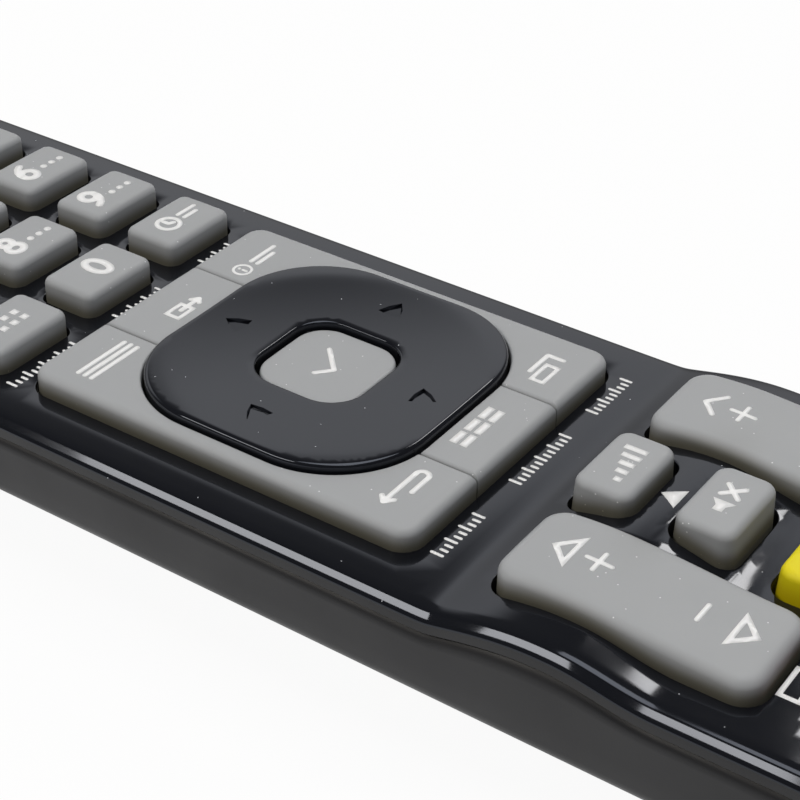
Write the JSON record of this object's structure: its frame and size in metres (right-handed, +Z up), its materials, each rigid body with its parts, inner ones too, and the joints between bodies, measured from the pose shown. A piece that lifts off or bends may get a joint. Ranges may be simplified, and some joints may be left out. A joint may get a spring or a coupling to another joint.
{
  "type": "universal remote control",
  "caption": "Slim hand-held infrared remote control with rubber keys, a rocking direction ring, two rockers, a waved gloss cover and a sliding battery door.",
  "frame": {"origin": "centre of the bounding box on the flat of the belly, where the remote rests", "axes": "+X to the right as the keys are read, +Y along the body to the emitter end, +Z up out of the key face"},
  "size_m": [0.051, 0.217, 0.0248],
  "materials": {
    "gloss_black": "gloss moulded ABS",
    "satin_black": "fine spark-eroded ABS",
    "grey_rubber": "satin silicone rubber",
    "red_rubber": "satin silicone rubber",
    "green_rubber": "satin silicone rubber",
    "blue_rubber": "satin silicone rubber",
    "yellow_rubber": "satin silicone rubber",
    "dark_rubber": "matt silicone rubber",
    "board_green": "solder mask on glass-epoxy board",
    "chip_black": "moulded epoxy",
    "emitter_clear": "clear epoxy",
    "window_dark": "dark red infrared-clear plastic",
    "cell_metal": "plated steel can",
    "contact_nickel": "nickel-plated spring steel",
    "screw_steel": "zinc-plated steel"
  },
  "bodies": {
    "case": {"top_cover": "gloss_black", "bottom_cover": "satin_black", "keypad_mat": "dark_rubber", "circuit_board": "board_green", "controller_chip": "chip_black", "emitter": "emitter_clear", "emitter_window": "window_dark", "battery_left": "cell_metal", "battery_right": "cell_metal", "battery_springs": "contact_nickel", "battery_contacts": "contact_nickel", "case_screws": "screw_steel"},
    "battery_door": {"battery_door": "satin_black"},
    "ring_collar": {"ring_collar": "dark_rubber"},
    "direction_ring": {"direction_ring": "gloss_black"},
    "confirm_key": {"confirm_key": "grey_rubber"},
    "menu_key": {"menu_key": "grey_rubber"},
    "source_key": {"source_key": "grey_rubber"},
    "info_key": {"info_key": "grey_rubber"},
    "exit_key": {"exit_key": "grey_rubber"},
    "guide_key": {"guide_key": "grey_rubber"},
    "view_key": {"view_key": "grey_rubber"},
    "key_0": {"key_0": "grey_rubber"},
    "key_1": {"key_1": "grey_rubber"},
    "key_2": {"key_2": "grey_rubber"},
    "key_3": {"key_3": "grey_rubber"},
    "key_4": {"key_4": "grey_rubber"},
    "key_5": {"key_5": "grey_rubber"},
    "key_6": {"key_6": "grey_rubber"},
    "key_7": {"key_7": "grey_rubber"},
    "key_8": {"key_8": "grey_rubber"},
    "key_9": {"key_9": "grey_rubber"},
    "apps_key": {"apps_key": "grey_rubber"},
    "timer_key": {"timer_key": "grey_rubber"},
    "list_key": {"list_key": "grey_rubber"},
    "page_key": {"page_key": "grey_rubber"},
    "return_key": {"return_key": "grey_rubber"},
    "power_key": {"power_key": "grey_rubber"},
    "input_key": {"input_key": "grey_rubber"},
    "rewind_key": {"rewind_key": "grey_rubber"},
    "play_key": {"play_key": "grey_rubber"},
    "forward_key": {"forward_key": "grey_rubber"},
    "record_key": {"record_key": "grey_rubber"},
    "stop_key": {"stop_key": "grey_rubber"},
    "pause_key": {"pause_key": "grey_rubber"},
    "sound_key": {"sound_key": "grey_rubber"},
    "mute_key": {"mute_key": "grey_rubber"},
    "red_key": {"red_key": "red_rubber"},
    "green_key": {"green_key": "green_rubber"},
    "blue_key": {"blue_key": "blue_rubber"},
    "yellow_key": {"yellow_key": "yellow_rubber"},
    "volume_rocker": {"volume_rocker": "grey_rubber"},
    "channel_rocker": {"channel_rocker": "grey_rubber"}
  },
  "joints": [
    {"name": "battery_door_slide", "type": "slide", "parent": "case", "child": "battery_door", "axis": [0, -1, 0], "range_m": [0, 0.008]},
    {"name": "ring_tilt_up_down", "type": "hinge", "parent": "case", "child": "ring_collar", "pos_m": [0, 0.004, 0.018], "axis": [1, 0, 0], "range_deg": [-2, 2], "stiffness_Nm_per_rad": 0.01},
    {"name": "ring_tilt_left_right", "type": "hinge", "parent": "ring_collar", "child": "direction_ring", "pos_m": [0, 0.004, 0.018], "axis": [0, 1, 0], "range_deg": [-2, 2], "stiffness_Nm_per_rad": 0.01},
    {"name": "volume_rocker_tilt", "type": "hinge", "parent": "case", "child": "volume_rocker", "pos_m": [-0.0144, -0.0422, 0.01695], "axis": [1, 0, 0], "range_deg": [-3, 3], "stiffness_Nm_per_rad": 0.006},
    {"name": "channel_rocker_tilt", "type": "hinge", "parent": "case", "child": "channel_rocker", "pos_m": [0.0144, -0.0422, 0.01695], "axis": [1, 0, 0], "range_deg": [-3, 3], "stiffness_Nm_per_rad": 0.006},
    {"name": "confirm_key_press", "type": "slide", "parent": "case", "child": "confirm_key", "axis": [0, 0, -1], "range_m": [0, 0.0009], "stiffness_N_per_m": 100, "springref_m": -0.0005},
    {"name": "menu_key_press", "type": "slide", "parent": "case", "child": "menu_key", "axis": [0, 0, -1], "range_m": [0, 0.0009], "stiffness_N_per_m": 100, "springref_m": -0.0005},
    {"name": "source_key_press", "type": "slide", "parent": "case", "child": "source_key", "axis": [0, 0, -1], "range_m": [0, 0.0009], "stiffness_N_per_m": 100, "springref_m": -0.0005},
    {"name": "info_key_press", "type": "slide", "parent": "case", "child": "info_key", "axis": [0, 0, -1], "range_m": [0, 0.0009], "stiffness_N_per_m": 100, "springref_m": -0.0005},
    {"name": "exit_key_press", "type": "slide", "parent": "case", "child": "exit_key", "axis": [0, 0, -1], "range_m": [0, 0.0009], "stiffness_N_per_m": 100, "springref_m": -0.0005},
    {"name": "guide_key_press", "type": "slide", "parent": "case", "child": "guide_key", "axis": [0, 0, -1], "range_m": [0, 0.0009], "stiffness_N_per_m": 100, "springref_m": -0.0005},
    {"name": "view_key_press", "type": "slide", "parent": "case", "child": "view_key", "axis": [0, 0, -1], "range_m": [0, 0.0009], "stiffness_N_per_m": 100, "springref_m": -0.0005},
    {"name": "key_0_press", "type": "slide", "parent": "case", "child": "key_0", "axis": [0, 0, -1], "range_m": [0, 0.0009], "stiffness_N_per_m": 100, "springref_m": -0.0005},
    {"name": "key_1_press", "type": "slide", "parent": "case", "child": "key_1", "axis": [0, 0, -1], "range_m": [0, 0.0009], "stiffness_N_per_m": 100, "springref_m": -0.0005},
    {"name": "key_2_press", "type": "slide", "parent": "case", "child": "key_2", "axis": [0, 0, -1], "range_m": [0, 0.0009], "stiffness_N_per_m": 100, "springref_m": -0.0005},
    {"name": "key_3_press", "type": "slide", "parent": "case", "child": "key_3", "axis": [0, 0, -1], "range_m": [0, 0.0009], "stiffness_N_per_m": 100, "springref_m": -0.0005},
    {"name": "key_4_press", "type": "slide", "parent": "case", "child": "key_4", "axis": [0, 0, -1], "range_m": [0, 0.0009], "stiffness_N_per_m": 100, "springref_m": -0.0005},
    {"name": "key_5_press", "type": "slide", "parent": "case", "child": "key_5", "axis": [0, 0, -1], "range_m": [0, 0.0009], "stiffness_N_per_m": 100, "springref_m": -0.0005},
    {"name": "key_6_press", "type": "slide", "parent": "case", "child": "key_6", "axis": [0, 0, -1], "range_m": [0, 0.0009], "stiffness_N_per_m": 100, "springref_m": -0.0005},
    {"name": "key_7_press", "type": "slide", "parent": "case", "child": "key_7", "axis": [0, 0, -1], "range_m": [0, 0.0009], "stiffness_N_per_m": 100, "springref_m": -0.0005},
    {"name": "key_8_press", "type": "slide", "parent": "case", "child": "key_8", "axis": [0, 0, -1], "range_m": [0, 0.0009], "stiffness_N_per_m": 100, "springref_m": -0.0005},
    {"name": "key_9_press", "type": "slide", "parent": "case", "child": "key_9", "axis": [0, 0, -1], "range_m": [0, 0.0009], "stiffness_N_per_m": 100, "springref_m": -0.0005},
    {"name": "apps_key_press", "type": "slide", "parent": "case", "child": "apps_key", "axis": [0, 0, -1], "range_m": [0, 0.0009], "stiffness_N_per_m": 100, "springref_m": -0.0005},
    {"name": "timer_key_press", "type": "slide", "parent": "case", "child": "timer_key", "axis": [0, 0, -1], "range_m": [0, 0.0009], "stiffness_N_per_m": 100, "springref_m": -0.0005},
    {"name": "list_key_press", "type": "slide", "parent": "case", "child": "list_key", "axis": [0, 0, -1], "range_m": [0, 0.0009], "stiffness_N_per_m": 100, "springref_m": -0.0005},
    {"name": "page_key_press", "type": "slide", "parent": "case", "child": "page_key", "axis": [0, 0, -1], "range_m": [0, 0.0009], "stiffness_N_per_m": 100, "springref_m": -0.0005},
    {"name": "return_key_press", "type": "slide", "parent": "case", "child": "return_key", "axis": [0, 0, -1], "range_m": [0, 0.0009], "stiffness_N_per_m": 100, "springref_m": -0.0005},
    {"name": "power_key_press", "type": "slide", "parent": "case", "child": "power_key", "axis": [0, 0, -1], "range_m": [0, 0.0009], "stiffness_N_per_m": 100, "springref_m": -0.0005},
    {"name": "input_key_press", "type": "slide", "parent": "case", "child": "input_key", "axis": [0, 0, -1], "range_m": [0, 0.0009], "stiffness_N_per_m": 100, "springref_m": -0.0005},
    {"name": "rewind_key_press", "type": "slide", "parent": "case", "child": "rewind_key", "axis": [0, 0, -1], "range_m": [0, 0.0009], "stiffness_N_per_m": 100, "springref_m": -0.0005},
    {"name": "play_key_press", "type": "slide", "parent": "case", "child": "play_key", "axis": [0, 0, -1], "range_m": [0, 0.0009], "stiffness_N_per_m": 100, "springref_m": -0.0005},
    {"name": "forward_key_press", "type": "slide", "parent": "case", "child": "forward_key", "axis": [0, 0, -1], "range_m": [0, 0.0009], "stiffness_N_per_m": 100, "springref_m": -0.0005},
    {"name": "record_key_press", "type": "slide", "parent": "case", "child": "record_key", "axis": [0, 0, -1], "range_m": [0, 0.0009], "stiffness_N_per_m": 100, "springref_m": -0.0005},
    {"name": "stop_key_press", "type": "slide", "parent": "case", "child": "stop_key", "axis": [0, 0, -1], "range_m": [0, 0.0009], "stiffness_N_per_m": 100, "springref_m": -0.0005},
    {"name": "pause_key_press", "type": "slide", "parent": "case", "child": "pause_key", "axis": [0, 0, -1], "range_m": [0, 0.0009], "stiffness_N_per_m": 100, "springref_m": -0.0005},
    {"name": "sound_key_press", "type": "slide", "parent": "case", "child": "sound_key", "axis": [0, 0, -1], "range_m": [0, 0.0009], "stiffness_N_per_m": 100, "springref_m": -0.0005},
    {"name": "mute_key_press", "type": "slide", "parent": "case", "child": "mute_key", "axis": [0, 0, -1], "range_m": [0, 0.0009], "stiffness_N_per_m": 100, "springref_m": -0.0005},
    {"name": "red_key_press", "type": "slide", "parent": "case", "child": "red_key", "axis": [0, 0, -1], "range_m": [0, 0.0009], "stiffness_N_per_m": 100, "springref_m": -0.0005},
    {"name": "green_key_press", "type": "slide", "parent": "case", "child": "green_key", "axis": [0, 0, -1], "range_m": [0, 0.0009], "stiffness_N_per_m": 100, "springref_m": -0.0005},
    {"name": "blue_key_press", "type": "slide", "parent": "case", "child": "blue_key", "axis": [0, 0, -1], "range_m": [0, 0.0009], "stiffness_N_per_m": 100, "springref_m": -0.0005},
    {"name": "yellow_key_press", "type": "slide", "parent": "case", "child": "yellow_key", "axis": [0, 0, -1], "range_m": [0, 0.0009], "stiffness_N_per_m": 100, "springref_m": -0.0005}
  ]
}
